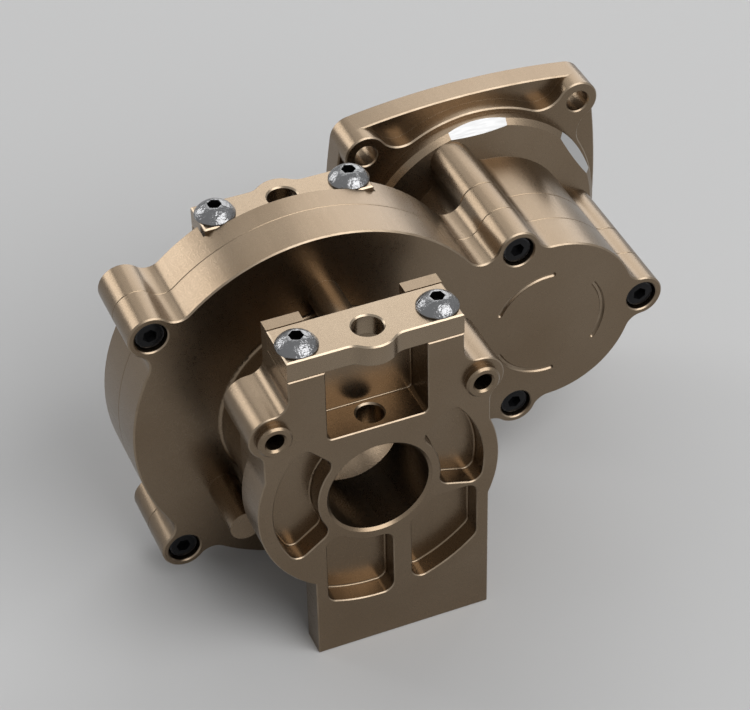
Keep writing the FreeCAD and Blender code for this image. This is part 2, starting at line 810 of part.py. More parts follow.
neck = plate_from_outline("neck", lobe_outline(), "joint_two", "drum_rim", None, "joint_break")
drum_profile = [
    (0.0, size("drum_root")),
    (size("lobe_radius"), size("drum_root")),
    (size("drum_radius") - size("drum_chamfer"), size("drum_rim")),
    (size("drum_radius"), size("drum_shoulder")),
    (size("drum_radius"), size("flange_rear")),
    (0.0, size("flange_rear")),
]
drum = turned_along_depth("drum", drum_profile, "lobe_across", "lobe_height")


def rim_facet(name, angle):
    """A slanted block that mills a flat on the drum's front rim."""
    facet = doc.addObject("Part::Box", name)
    bind(facet, "Length", "drum_radius")
    bind(facet, "Width", "drum_radius")
    bind(facet, "Height", "drum_radius")
    across = FreeCAD.Rotation(FreeCAD.Vector(0, 1, 0), 90 - size(angle))
    tilt = FreeCAD.Rotation(FreeCAD.Vector(1, 0, 0), size("facet_lean"))
    half = size("drum_radius") / 2
    start = FreeCAD.Vector(-half, size("drum_rim"), size("facet_reach"))
    spin = FreeCAD.Placement(FreeCAD.Vector(size("lobe_across"), 0, size("lobe_height")), across)
    lean = FreeCAD.Placement(start, tilt)
    back = FreeCAD.Placement(FreeCAD.Vector(0, -half, 0), FreeCAD.Rotation())
    facet.Placement = spin.multiply(lean).multiply(back)
    return facet


drum = cut("drum_milled", drum, [rim_facet("facet_one", "facet_one_angle"),
                                 rim_facet("facet_two", "facet_two_angle")])


def flange_outline():
    """A square with bowed sides that run smoothly into round corners about the four bolts."""
    x = size("lobe_across")
    z = size("lobe_height")
    bolt = size("flange_bolt_half")
    bow = size("flange_side_radius")
    corner = size("flange_corner_radius")
    back = math.sqrt((bow - corner) ** 2 - bolt ** 2) - bolt
    sides = [(x - back, z), (x, z - back), (x + back, z), (x, z + back)]
    corners = [(x + bolt, z - bolt), (x + bolt, z + bolt), (x - bolt, z + bolt), (x - bolt, z - bolt)]
    outline = []
    for index, centre in enumerate(sides):
        meeting = corners[(index + 1) % len(corners)]
        next_centre = sides[(index + 1) % len(sides)]
        start = toward(centre, corners[index], bow)
        end = toward(centre, meeting, bow)
        outline.append(arc_between(centre, bow, start, end))
        outline.append(arc_between(meeting, corner, end, toward(next_centre, meeting, bow)))
    return outline


flange = plate_from_outline("flange", flange_outline(), "flange_front", "flange_rear", None,
                            "edge_break", "edge_break")
PAD_DISCS = []
for sign_x, sign_z in ((1, -1), (1, 1), (-1, 1), (-1, -1)):
    PAD_DISCS.append((size("lobe_across") + sign_x * size("flange_bolt_half"),
                      size("lobe_height") + sign_z * size("flange_bolt_half"),
                      size("flange_corner_radius")))
LEDGE_DISC = (size("lobe_across"), size("lobe_height"), size("drum_radius") + size("pad_ledge"))
pad_chain = []
for pad_disc in PAD_DISCS:
    pad_chain += [pad_disc, LEDGE_DISC]
pads = plate_from_outline("pads", blended_outline(pad_chain, size("flange_pocket_blend")), "pad_front",
                          "flange_rear - edge_break", None, "edge_break")
clutch_solid = fuse("clutch_solid", [neck, drum, flange, pads])
clutch_tools = [lobe_rod("bell", "bell_floor", "flange_rear + overcut", "bell_radius"),
                lobe_rod("neck_room", "joint_two + neck_wall", "bell_floor + overcut",
                         "lobe_radius - neck_wall"),
                lobe_rod("neck_bore", "joint_two - overcut", "bell_floor", "lobe_bore_radius")]
clutch_tools += case_screw_holes("clutch_tap_", "joint_two - overcut",
                                 "case_front + case_screw_recess + case_screw_long + tap_run_out",
                                 "case_screw_radius + thread_clearance", only_long=True)
for number, (sign_x, sign_z) in enumerate((("+", "-"), ("+", "+"), ("-", "+"), ("-", "-")), start=1):
    across = "lobe_across %s flange_bolt_half" % sign_x
    height = "lobe_height %s flange_bolt_half" % sign_z
    clutch_tools.append(rod_along_depth("flange_hole_%d" % number, across, height, "pad_front - overcut",
                                        "flange_rear + overcut", "flange_hole_radius"))
    clutch_tools.append(cone_along_depth("flange_mouth_%d" % number, across, height,
                                         "pad_front - overcut", "pad_front + flange_hole_chamfer",
                                         "flange_hole_radius + flange_hole_chamfer + overcut",
                                         "flange_hole_radius"))
clutch_housing = sub_part(cut("clutch_housing", clutch_solid, clutch_tools), "clutch_housing")

# Link bars


def bar_outline(depth):
    """The bar seen from above: a strip with a round bulge in the middle of its outer side."""
    half = size("head_half_width")
    bulge = size("bulge_radius")
    blend = size("bulge_blend")
    nose = -size("bulge_rise")
    centre = (0.0, nose + bulge)
    drop = centre[1] + blend
    aside = math.sqrt((bulge + blend) ** 2 - drop ** 2)
    right_blend = (aside, -blend)
    left_blend = (-aside, -blend)
    right_touch = toward(centre, right_blend, bulge)
    left_touch = toward(centre, left_blend, bulge)
    lines = [
        arc_between(centre, bulge, left_touch, right_touch),
        arc_between(right_blend, blend, (aside, 0.0), right_touch),
        arc_between(left_blend, blend, left_touch, (-aside, 0.0)),
    ]
    corners = [(aside, 0.0), (half, 0.0), (half, depth), (-half, depth), (-half, 0.0), (-aside, 0.0)]
    for start, end in zip(corners, corners[1:]):
        lines.append(Part.LineSegment(FreeCAD.Vector(start[0], start[1], 0),
                                      FreeCAD.Vector(end[0], end[1], 0)))
    return lines


def link_bar(label, depth_value, pivot, turned):
    """A bar on its seat, with its pivot hole and two screw holes. The rear one is turned about."""
    body = doc.addObject("PartDesign::Body", label + "_body")
    sketch = body.newObject("Sketcher::SketchObject", label + "_outline")
    sketch.AttachmentSupport = [(origin_plane(body, "XY_Plane"), "")]
    sketch.MapMode = "FlatFace"
    sketch.addGeometry(bar_outline(depth_value), False)
    pad = body.newObject("PartDesign::Pad", label + "_pad")
    pad.Profile = sketch
    bind(pad, "Length", "bar_thickness")
    doc.recompute()

    def on_top_or_bottom(edge):
        level = edge.CenterOfMass.z
        return min(abs(level), abs(level - size("bar_thickness"))) < NEAR

    last = ease_edges(body, "PartDesign::Chamfer", label + "_breaks", pad, on_top_or_bottom, "Size",
                      "edge_break")
    solid_volume = last.Shape.Volume
    holes = body.newObject("Sketcher::SketchObject", label + "_holes")
    holes.AttachmentSupport = [(origin_plane(body, "XY_Plane"), "")]
    holes.MapMode = "FlatFace"
    spots = [("bar_hole_radius", 0.0, "0"),
             ("bar_screw_radius + screw_clearance", -1.0, "-bar_screw_across"),
             ("bar_screw_radius + screw_clearance", 1.0, "bar_screw_across")]
    for radius, guess, across in spots:
        start = FreeCAD.Vector(guess * size("bar_screw_across"), size(pivot), 0)
        index = holes.addGeometry(Part.Circle(start, FreeCAD.Vector(0, 0, 1), size("bar_screw_radius")))
        radius_rule = holes.addConstraint(Sketcher.Constraint("Radius", index, size("bar_screw_radius")))
        height_rule = holes.addConstraint(Sketcher.Constraint("DistanceY", -1, 1, index, 3, start.y))
        bind(holes, "Constraints[%d]" % radius_rule, radius)
        bind(holes, "Constraints[%d]" % height_rule, pivot)
        if guess:
            across_rule = holes.addConstraint(Sketcher.Constraint("DistanceX", -1, 1, index, 3, start.x))
            bind(holes, "Constraints[%d]" % across_rule, across)
        else:
            holes.addConstraint(Sketcher.Constraint("PointOnObject", index, 3, -2))
    pocket = body.newObject("PartDesign::Pocket", label + "_pocket")
    pocket.Profile = holes
    pocket.Type = 1
    pocket.Reversed = True
    doc.recompute()
    if not pocket.Shape.Volume < solid_volume:
        raise ValueError(label + " has no holes")

    def on_pivot_mouth(edge):
        return (rim_at(edge, "z", 0, size("bar_hole_radius"))
                or rim_at(edge, "z", size("bar_thickness"), size("bar_hole_radius")))

    ease_edges(body, "PartDesign::Chamfer", label + "_mouths", pocket, on_pivot_mouth, "Size",
               "bar_hole_chamfer")
    if turned:
        body.Placement = FreeCAD.Placement(FreeCAD.Vector(), FreeCAD.Rotation(FreeCAD.Vector(0, 0, 1), 180))
        bind(body, "Placement.Base.y", "rear_face")
    bind(body, "Placement.Base.z", "seat_height")
    doc.recompute()
    return sub_part(body, label)


front_link_bar = link_bar("front_link_bar", size("front_bar_depth"), "pivot_depth", False)
rear_link_bar = link_bar("rear_link_bar", size("rear_face") - size("notch_front") - size("bar_fit"),
                         "rear_pivot_depth", True)

# Screws

DOME_STEPS = 6
HEXAGON_SIDES = 6


def screw_profile(name, points, socket, socket_depth, head_top):
    """A turned body about Z from half-profile points, with a hexagon socket in its top."""
    body = doc.addObject("PartDesign::Body", name)
    sketch = body.newObject("Sketcher::SketchObject", name + "_profile")
    sketch.AttachmentSupport = [(origin_plane(body, "XZ_Plane"), "")]
    sketch.MapMode = "FlatFace"
    sketch.addGeometry(closed_polyline(points), False)
    turned = body.newObject("PartDesign::Revolution", name + "_turned")
    turned.Profile = sketch
    turned.ReferenceAxis = (sketch, ["V_Axis"])
    turned.Angle = 360
    doc.recompute()
    solid_volume = turned.Shape.Volume
    hexagon = body.newObject("Sketcher::SketchObject", name + "_socket")
    hexagon.AttachmentSupport = [(origin_plane(body, "XY_Plane"), "")]
    hexagon.MapMode = "FlatFace"
    bind(hexagon, "AttachmentOffset.Base.z", head_top)
    corner = socket / math.sqrt(3)
    corners = []
    for number in range(HEXAGON_SIDES):
        turn = 2 * math.pi * number / HEXAGON_SIDES
        corners.append(FreeCAD.Vector(corner * math.cos(turn), corner * math.sin(turn), 0))
    hexagon.addGeometry([Part.LineSegment(corners[i - 1], corners[i]) for i in range(HEXAGON_SIDES)],
                        False)
    pocket = body.newObject("PartDesign::Pocket", name + "_hexagon")
    pocket.Profile = hexagon
    bind(pocket, "Length", socket_depth)
    doc.recompute()
    if not pocket.Shape.Volume < solid_volume:
        raise ValueError(name + " has no socket")
    return body


def button_screw(label, across, depth):
    """A button-head screw standing in a link bar, head up."""
    head = size("bar_screw_head_radius")
    rise = size("bar_screw_head_height")
    shank = size("bar_screw_radius")
    length = size("bar_screw_length")
    crown = size("bar_screw_crown")
    edge = size("head_edge")
    # The dome is part of a ball, from the rim's edge up to the flat round the socket
    ball_height = (crown ** 2 + rise ** 2 - head ** 2 - edge ** 2) / (2 * (rise - edge))
    ball_radius = math.hypot(crown, rise - ball_height)
    rim_turn = math.atan2(edge - ball_height, head)
    crown_turn = math.atan2(rise - ball_height, crown)
    arc_points = []
    for step in range(DOME_STEPS + 1):
        turn = rim_turn + (crown_turn - rim_turn) * step / DOME_STEPS
        arc_points.append((ball_radius * math.cos(turn), ball_height + ball_radius * math.sin(turn)))
    points = [(0.0, -length), (shank, -length), (shank, 0.0), (head, 0.0)] + arc_points + [(0.0, rise)]
    body = screw_profile(label + "_body", points, size("bar_screw_socket"), "socket_depth",
                         "bar_screw_head_height")
    bind(body, "Placement.Base.x", across)
    bind(body, "Placement.Base.y", depth)
    bind(body, "Placement.Base.z", "seat_height + bar_thickness")
    doc.recompute()
    return sub_part(body, label)


def cap_screw(label, across, height, length):
    """A cap screw lying along the depth in its recess, head to the front."""
    head = size("case_screw_head_radius")
    rise = size("case_screw_head_height")
    shank = size("case_screw_radius")
    edge = size("head_edge")
    reach = size(length)
    points = [(0.0, -reach), (shank, -reach), (shank, 0.0), (head, 0.0), (head, rise - edge),
              (head - edge, rise), (0.0, rise)]
    body = screw_profile(label + "_body", points, size("case_screw_socket"), "socket_depth",
                         "case_screw_head_height")
    body.Placement = FreeCAD.Placement(FreeCAD.Vector(), FreeCAD.Rotation(FreeCAD.Vector(1, 0, 0), 90))
    bind(body, "Placement.Base.x", across)
    bind(body, "Placement.Base.y", "case_front + case_screw_recess")
    bind(body, "Placement.Base.z", height)
    doc.recompute()
    return sub_part(body, label)


sub_parts = [front_housing, rear_housing, clutch_housing, front_link_bar, rear_link_bar]
for station, depth in (("front", "pivot_depth"), ("rear", "rear_face - rear_pivot_depth")):
    for side, sign in (("left", "-"), ("right", "")):
        sub_parts.append(button_screw("bar_screw_%s_%s" % (station, side), sign + "bar_screw_across", depth))
for screw, (across, height, length) in CASE_SCREWS.items():
    sub_parts.append(cap_screw(screw, across, height, length))

# Every object has to be sound before anything is written

doc.recompute()
for item in doc.Objects:
    if "Invalid" in item.State or "Error" in item.State:
        raise ValueError(item.Name + " failed")
for item in sub_parts:
    if item.Shape.isNull() or not item.Shape.isValid():
        raise ValueError(item.Label + " has no valid shape")
    if len(item.Shape.Solids) != 1:
        raise ValueError("%s has %d solids" % (item.Label, len(item.Shape.Solids)))

os.makedirs("parts", exist_ok=True)
for item in sub_parts:
    item.Shape.exportStep("parts/%s.step" % item.Label)
    box = item.Shape.BoundBox
    print("%-24s %9.1f mm3  x %.1f..%.1f  y %.1f..%.1f  z %.1f..%.1f" % (
        item.Label, item.Shape.Volume, box.XMin, box.XMax, box.YMin, box.YMax, box.ZMin, box.ZMax))
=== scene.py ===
# %% [markdown]
# # A small gearbox housing
#
# The real object is a set of milled aluminium castings: a round case with a lobe on its right,
# a bracket with a square foot in front of it, a clutch bell with a square engine flange behind,
# two link bars, and the screws that hold them together. The metal is blasted with fine beads and
# then anodised bronze. The measured solids come from the engineering model, so this lesson starts
# from them and adds what they lack: soft shading, cut edges, finishes, screws, light and camera.

# %% Tools and the measured solids
import math

import bmesh
import bpy
from mathutils import Matrix, Vector


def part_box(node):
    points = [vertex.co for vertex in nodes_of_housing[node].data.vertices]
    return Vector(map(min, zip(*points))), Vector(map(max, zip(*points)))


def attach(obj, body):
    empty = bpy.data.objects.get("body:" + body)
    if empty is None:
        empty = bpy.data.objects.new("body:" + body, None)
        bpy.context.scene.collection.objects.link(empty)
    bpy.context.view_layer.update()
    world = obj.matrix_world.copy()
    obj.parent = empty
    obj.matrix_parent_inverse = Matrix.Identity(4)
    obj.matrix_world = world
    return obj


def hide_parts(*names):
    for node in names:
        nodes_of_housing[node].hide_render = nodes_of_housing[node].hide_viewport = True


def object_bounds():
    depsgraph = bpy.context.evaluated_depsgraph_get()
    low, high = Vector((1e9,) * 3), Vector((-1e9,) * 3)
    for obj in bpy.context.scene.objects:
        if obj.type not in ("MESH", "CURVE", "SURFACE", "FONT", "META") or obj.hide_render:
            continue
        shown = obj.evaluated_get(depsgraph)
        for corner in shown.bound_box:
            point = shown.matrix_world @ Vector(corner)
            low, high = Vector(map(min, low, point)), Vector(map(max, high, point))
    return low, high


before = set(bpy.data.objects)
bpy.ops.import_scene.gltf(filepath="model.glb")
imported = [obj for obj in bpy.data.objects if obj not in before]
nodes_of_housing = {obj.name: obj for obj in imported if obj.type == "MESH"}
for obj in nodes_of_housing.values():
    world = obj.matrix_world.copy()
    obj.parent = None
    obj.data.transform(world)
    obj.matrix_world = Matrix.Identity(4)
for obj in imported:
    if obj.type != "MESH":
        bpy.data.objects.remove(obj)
cad_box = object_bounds()
MM = 0.001
print("solids in the frame:", len(nodes_of_housing))

# %% [markdown]
# ## Camera
#
# The viewpoint was worked out from the bores, the screw heads and the flange corners, which are
# round or square on the real object, so their ellipses and slopes fix where the camera stood.
# A long lens from a little over half a metre keeps the far flange nearly as large as the foot.

# %% Camera
# Angles in radians, places in metres, the sensor's width in millimetres.
CAMERA_AZIMUTH = 0.380
CAMERA_DROP = 0.701
CAMERA_ROLL = 0.025
CAMERA_PLACE = Vector((-0.15634, -0.39035, 0.39327))
FOCAL_PIXELS = 2604.28
IMAGE_WIDTH = 750
SENSOR = 36.0
NEAREST_SEEN = 0.01
FARTHEST_SEEN = 20.0


def aimed_camera():
    """The camera at the photograph's place, aimed by azimuth, drop and roll."""
    sin_a, cos_a = math.sin(CAMERA_AZIMUTH), math.cos(CAMERA_AZIMUTH)
    sin_d, cos_d = math.sin(CAMERA_DROP), math.cos(CAMERA_DROP)
    ahead = Vector((sin_a * cos_d, cos_a * cos_d, -sin_d))
    right = Vector((cos_a, -sin_a, 0.0))
    up = right.cross(ahead)
    turn = Matrix.Rotation(CAMERA_ROLL, 3, ahead)
    right, up = turn @ right, turn @ up
    camera = bpy.data.objects.new("camera", bpy.data.cameras.new("camera"))
    bpy.context.scene.collection.objects.link(camera)
    facing = Matrix((right, up, -ahead)).transposed().to_4x4()
    camera.matrix_world = Matrix.Translation(CAMERA_PLACE) @ facing
    camera.data.sensor_width = SENSOR
    camera.data.lens = FOCAL_PIXELS / IMAGE_WIDTH * SENSOR
    camera.data.clip_start = NEAREST_SEEN
    camera.data.clip_end = FARTHEST_SEEN
    return camera


bpy.context.scene.camera = aimed_camera()
print("lens, mm:", round(bpy.context.scene.camera.data.lens, 1))

# %% [markdown]
# ## Light
#
# Satin metal is mostly a picture of its lamps, so the lamps are what shape it. The round case lies
# like a barrel before the camera, and each strip of it mirrors one direction of the room, so the
# bright and dim strips tell where the lamps stood: a strong one low behind on the left, a wide one
# behind on the right that also whitens every level face, and a dim one between them overhead. One
# more stands high in front; the cut flats of the drum and the pockets' floors look straight at it.
# The room itself is an even grey, which the camera and the metal see paler than it shines.

# %% Lamps and room
MIDDLE_OF_HOUSING = Vector((0.020, 0.040, 0.0))


def soft_box(name, towards, distance, width, height, glow):
    """A rectangular lamp in one direction from the housing, aimed at it, with a set glow."""
    data = bpy.data.lights.new(name, "AREA")
    data.shape = "RECTANGLE"
    data.size = width
    data.size_y = height
    data.energy = glow * math.pi * width * height
    lamp = bpy.data.objects.new(name, data)
    bpy.context.scene.collection.objects.link(lamp)
    lamp.location = MIDDLE_OF_HOUSING + Vector(towards).normalized() * distance
    lamp.rotation_euler = (MIDDLE_OF_HOUSING - lamp.location).to_track_quat("-Z", "Y").to_euler()


soft_box("soft_box_back_left", towards=(-0.55, 0.74, 0.38), distance=1.2,
         width=0.45, height=0.55, glow=3.7)
soft_box("soft_box_back_right", towards=(0.52, 0.73, 0.43), distance=1.2,
         width=0.80, height=0.95, glow=2.1)
soft_box("soft_box_overhead", towards=(-0.05, 0.62, 0.78), distance=1.3,
         width=0.60, height=0.60, glow=1.2)
soft_box("soft_box_front", towards=(0.33, -0.62, 0.71), distance=1.3,
         width=1.15, height=0.85, glow=4.0)

# How bright the room looks, and how bright it shines on the housing.
ROOM_SEEN = 0.62
ROOM_GLOW = 0.26
ROOM_TINT = (0.98, 0.99, 1.0)


def pale_room():
    """A dim room whose walls look pale to the camera and in the metal."""
    world = bpy.data.worlds.new("room")
    world.use_nodes = True
    tree = world.node_tree
    path = tree.nodes.new("ShaderNodeLightPath")
    seen = path.outputs["Is Camera Ray"]
    for title in ("Is Glossy Ray", "Is Transmission Ray"):
        either = tree.nodes.new("ShaderNodeMath")
        either.operation = "MAXIMUM"
        tree.links.new(seen, either.inputs[0])
        tree.links.new(path.outputs[title], either.inputs[1])
        seen = either.outputs[0]
    level = tree.nodes.new("ShaderNodeMapRange")
    level.inputs["To Min"].default_value = ROOM_GLOW
    level.inputs["To Max"].default_value = ROOM_SEEN
    tree.links.new(seen, level.inputs["Value"])
    tree.links.new(level.outputs["Result"], tree.nodes["Background"].inputs["Strength"])
    tree.nodes["Background"].inputs["Color"].default_value = (*ROOM_TINT, 1.0)
    return world


bpy.context.scene.world = pale_room()
bpy.context.scene.view_settings.view_transform = "Standard"

# %% [markdown]
# ## Floor
#
# The housing stands on its two feet on a plain pale sheet. The sheet is one wide disc, so that no
# edge of it comes into any view, and its grey is matt: the object's soft shadow is all it shows.

# %% Floor
FLOOR_REACH = 6.0
FLOOR_SIDES = 96
FLOOR_GREY = (0.57, 0.57, 0.57)
FLOOR_ROUGHNESS = 0.9


def plain_material(name, colour, roughness, metallic=0.0):
    """A material with a Principled shader, and the shader itself."""
    material = bpy.data.materials.new(name)
    material.use_nodes = True
    shader = material.node_tree.nodes["Principled BSDF"]
    shader.inputs["Base Color"].default_value = (*colour, 1.0)
    shader.inputs["Roughness"].default_value = roughness
    shader.inputs["Metallic"].default_value = metallic
    return material, shader


def pale_floor(height):
    """A wide disc under the housing's feet."""
    form = bmesh.new()
    bmesh.ops.create_circle(form, cap_ends=True, segments=FLOOR_SIDES, radius=FLOOR_REACH)
    bmesh.ops.translate(form, verts=form.verts, vec=(0.0, 0.0, height))
    mesh = bpy.data.meshes.new("floor")
    form.to_mesh(mesh)
    form.free()
    floor = bpy.data.objects.new("floor", mesh)
    bpy.context.scene.collection.objects.link(floor)
    mesh.materials.append(plain_material("floor_sheet", FLOOR_GREY, FLOOR_ROUGHNESS)[0])
    return floor


floor = pale_floor(cad_box[0].z)
print("floor at, mm:", round(cad_box[0].z / MM, 2))

# %% [markdown]
# ## Anodised bronze
#
# Anodising leaves a thin, hard, tinted skin on the blasted metal. It could be one flat colour,
# but the real skin is alive at several scales: a bead-blast grain of a few tenths of a millimetre
# that scatters the light, faint streaks along the depth where the side of the cutter ran, and a slow
# drift of tone from one patch to the next. The edges cut with a chamfer tool get a painted highlight:
# a paler colour, broken into patches by noise. The first three are noise on the object's own
# coordinates. The painted highlight is read from a mark that each face carries, which the next step
# sets.
# The blast also takes the sharpness off every edge. A Bevel modifier could cut thousands of thin
# faces for that, but at a tenth of a millimetre only the light shows it, so the shader's own bevel
# turns the normals over the edge. A wide, rounded edge has a broader and softer gleam than the
# flat beside it, which is why the marked edges are rougher too.

# %% Anodised finish
EDGE_MARK = "cut_edge"
EDGE_ROUND = 0.07 * MM
EDGE_SPREAD = 0.05
BEVEL_SAMPLES = 6


def noise(tree, place, waves, detail, rough=0.5):
    """A noise texture of so many waves per metre."""
    node = tree.nodes.new("ShaderNodeTexNoise")
    node.inputs["Scale"].default_value = waves
    node.inputs["Detail"].default_value = detail
    node.inputs["Roughness"].default_value = rough
    tree.links.new(place, node.inputs["Vector"])
    return node.outputs["Fac"]


def spread(tree, value, low, high, from_low=0.3, from_high=0.7):
    """A value of about 0.3 to 0.7 spread over another range."""
    node = tree.nodes.new("ShaderNodeMapRange")
    node.inputs["From Min"].default_value = from_low
    node.inputs["From Max"].default_value = from_high
    node.inputs["To Min"].default_value = low
    node.inputs["To Max"].default_value = high
    tree.links.new(value, node.inputs["Value"])
    return node.outputs["Result"]


def blend_colours(tree, share, first, second):
    """A mix of two colours, each a tuple or a socket."""
    node = tree.nodes.new("ShaderNodeMix")
    node.data_type = "RGBA"
    tree.links.new(share, node.inputs["Factor"])
    for title, colour in (("A", first), ("B", second)):
        entry = [s for s in node.inputs if s.name == title and s.type == "RGBA"][0]
        if isinstance(colour, tuple):
            entry.default_value = (*colour, 1.0)
        else:
            tree.links.new(colour, entry)
    return [s for s in node.outputs if s.type == "RGBA"][0]


def sum_of(tree, first, second, operation="ADD"):
    """Two values added, or joined by another operation."""
    node = tree.nodes.new("ShaderNodeMath")
    node.operation = operation
    tree.links.new(first, node.inputs[0])
    tree.links.new(second, node.inputs[1])
    return node.outputs[0]


def stretched(tree, place, scale):
    """Coordinates scaled along each axis. A small scale draws the pattern out to streaks."""
    node = tree.nodes.new("ShaderNodeMapping")
    node.inputs["Scale"].default_value = scale
    tree.links.new(place, node.inputs["Vector"])
    return node.outputs["Vector"]


def relief(tree, height, depth, strength, below=None):
    """A bump of a given depth, on top of another one if there is one."""
    bump = tree.nodes.new("ShaderNodeBump")
    bump.inputs["Strength"].default_value = strength
    bump.inputs["Distance"].default_value = depth
    tree.links.new(height, bump.inputs["Height"])
    if below is not None:
        tree.links.new(below, bump.inputs["Normal"])
    return bump.outputs["Normal"]


def blunted(tree, radius):
    """The normal, turned smoothly over every edge within a radius."""
    node = tree.nodes.new("ShaderNodeBevel")
    node.samples = BEVEL_SAMPLES
    node.inputs["Radius"].default_value = radius
    return node.outputs["Normal"]


# Waves of each pattern in a metre, the depth of its relief, and how far it moves the roughness.
DRIFT_WAVES = 42.0
EDGE_HIGHLIGHT_WAVES = 210.0
GRAIN_WAVES, GRAIN_DEPTH, GRAIN_SPREAD = 4200.0, 0.006 * MM, 0.05
STREAK_WAVES, STREAK_DEPTH, STREAK_SPREAD = 700.0, 0.003 * MM, 0.018
ALONG_DEPTH = (1.0, 0.03, 1.0)


def anodised(name, tone, drift_tone, edge_highlight_tone, roughness):
    """Bead-blasted, anodised aluminium with faint cutter streaks and a painted highlight on its cut
    edges.
    """
    material, shader = plain_material(name, tone, roughness, metallic=1.0)
    tree = material.node_tree
    place = tree.nodes.new("ShaderNodeTexCoord").outputs["Object"]
    drift = spread(tree, noise(tree, place, DRIFT_WAVES, detail=3.0), 0.0, 1.0)
    grain = noise(tree, place, GRAIN_WAVES, detail=2.0)
    streak = noise(tree, stretched(tree, place, ALONG_DEPTH), STREAK_WAVES, detail=3.0, rough=0.6)
    colour = blend_colours(tree, drift, tone, drift_tone)
    # The marked cut edges get a painted highlight: a paler colour, in patches set by noise.
    mark = tree.nodes.new("ShaderNodeAttribute")
    mark.attribute_name = EDGE_MARK
    wear_and_highlight_patches = spread(tree, noise(tree, place, EDGE_HIGHLIGHT_WAVES, detail=3.0), 0.25, 1.0)
    edge_highlight_share = sum_of(tree, mark.outputs["Fac"], wear_and_highlight_patches, "MULTIPLY")
    tree.links.new(blend_colours(tree, edge_highlight_share, colour, edge_highlight_tone), shader.inputs["Base Color"])
    rough = sum_of(tree, spread(tree, grain, roughness - GRAIN_SPREAD, roughness + GRAIN_SPREAD),
                   spread(tree, streak, -STREAK_SPREAD, STREAK_SPREAD))
    rough = sum_of(tree, rough, spread(tree, mark.outputs["Fac"], 0.0, EDGE_SPREAD, 0.0, 1.0))
    tree.links.new(rough, shader.inputs["Roughness"])
    streaked = relief(tree, streak, STREAK_DEPTH, strength=0.3, below=blunted(tree, EDGE_ROUND))
    grained = relief(tree, grain, GRAIN_DEPTH, strength=0.25, below=streaked)
    tree.links.new(grained, shader.inputs["Normal"])
    return material


# Each finish's edge colour is a painted highlight, paler than its tone.
case_bronze = anodised("case_bronze", tone=(0.230, 0.175, 0.121), drift_tone=(0.205, 0.151, 0.100),
                       edge_highlight_tone=(0.31, 0.245, 0.178), roughness=0.30)
bar_bronze = anodised("bar_bronze", tone=(0.300, 0.234, 0.166), drift_tone=(0.278, 0.212, 0.147),
                      edge_highlight_tone=(0.38, 0.31, 0.23), roughness=0.27)
print("finishes:", case_bronze.name, bar_bronze.name)

# %% [markdown]
# ## Bare milled flats
#
# After anodising, two flats were milled on the drum's front rim, so they show bare aluminium, far
# brighter than the skin round them. They could be picked by hand, but a rule holds better when the
# solids change: they are the flat patches of the bell that lean at 45 degrees and are more than
# slivers. Their finish is a pale metal with fine parallel tool marks.

# %% Bare aluminium
CUTTER_WAVES, CUTTER_DEPTH, CUTTER_SPREAD = 5200.0, 0.004 * MM, 0.06
ACROSS = (0.05, 1.0, 1.0)


def bare_aluminium(name, tone, roughness):
    """Fresh-cut aluminium with the fine marks of a fly cutter."""
    material, shader = plain_material(name, tone, roughness, metallic=1.0)
    tree = material.node_tree
    place = tree.nodes.new("ShaderNodeTexCoord").outputs["Object"]
    marks = noise(tree, stretched(tree, place, ACROSS), CUTTER_WAVES, detail=2.0, rough=0.6)
    rough = spread(tree, marks, roughness - CUTTER_SPREAD, roughness + CUTTER_SPREAD)
    tree.links.new(rough, shader.inputs["Roughness"])
    tree.links.new(relief(tree, marks, CUTTER_DEPTH, strength=0.5), shader.inputs["Normal"])
    return material


milled_bare = bare_aluminium("milled_bare", tone=(0.50, 0.50, 0.50), roughness=0.56)
print("bare finish:", milled_bare.name)

# %% [markdown]
# ## Welding and smoothing the milled pieces
#
# The frame's meshes come in loose patches, one for each face of the solid, which shade with
# seams between them. Welding a copy joins the patches; then every edge under a set angle is shaded
# smooth and every other edge stays crisp. Narrow strips between two crisp edges are the places
# where a chamfer tool has run, so they are found by their width and marked for the painted highlight
# of the finish above.
# Still narrower strips are the two sides of a joint line, which stay as dark as the skin.
# The mouths of the five counterbores are eased first with a small cut, a bevel on their rings of
# edges, because each shows as a bright crescent under its screw.

# %% Welded copies with their cut edges marked
# Points nearer than WELD are one, and a strip whose width lies within STRIP is a cut edge.
WELD = 0.0005 * MM
CRISP = math.radians(24)
STRIP = (0.30 * MM, 0.62 * MM)


def welded(node):
    """A welded copy of a node's mesh as a bmesh."""
    form = bmesh.new()
    form.from_mesh(nodes_of_housing[node].data)
    bmesh.ops.remove_doubles(form, verts=form.verts, dist=WELD)
    bmesh.ops.dissolve_degenerate(form, edges=form.edges, dist=WELD)
    return form


def patches(form, joins):
    """Faces grouped into patches, across the edges for which joins(edge) is true."""
    seen, groups = set(), []
    for start in form.faces:
        if start.index in seen:
            continue
        group, reach = [], [start]
        seen.add(start.index)
        while reach:
            face = reach.pop()
            group.append(face)
            for edge in face.edges:
                if joins(edge):
                    for other in edge.link_faces:
                        if other.index not in seen:
                            seen.add(other.index)
                            reach.append(other)
        groups.append(group)
    return groups


def area_of(group):
    """The area of a patch."""
    return sum(face.calc_area() for face in group)


def rim_length(group):
    """The length of a patch's crisp outline."""
    return sum(edge.calc_length() for face in group for edge in face.edges if not edge.smooth)


# How far a flat leans to the front, how near it has to be to that, and its least area.
FLAT_LEAN = math.cos(math.radians(45))
LEAN_SLACK = 0.003
FLAT_AREA = 12.0 * MM * MM
LEVEL = math.radians(0.3)


def milled_flats(form):
    """The faces of the flats that lean at 45 degrees, whose outline is made crisp."""
    found = set()
    for group in patches(form, lambda edge: edge.calc_face_angle(math.pi) < LEVEL):
        if abs(group[0].normal.y + FLAT_LEAN) < LEAN_SLACK and area_of(group) > FLAT_AREA:
            found.update(group)
    for face in found:
        for edge in face.edges:
            if any(other not in found for other in edge.link_faces):
                edge.smooth = False
    return found


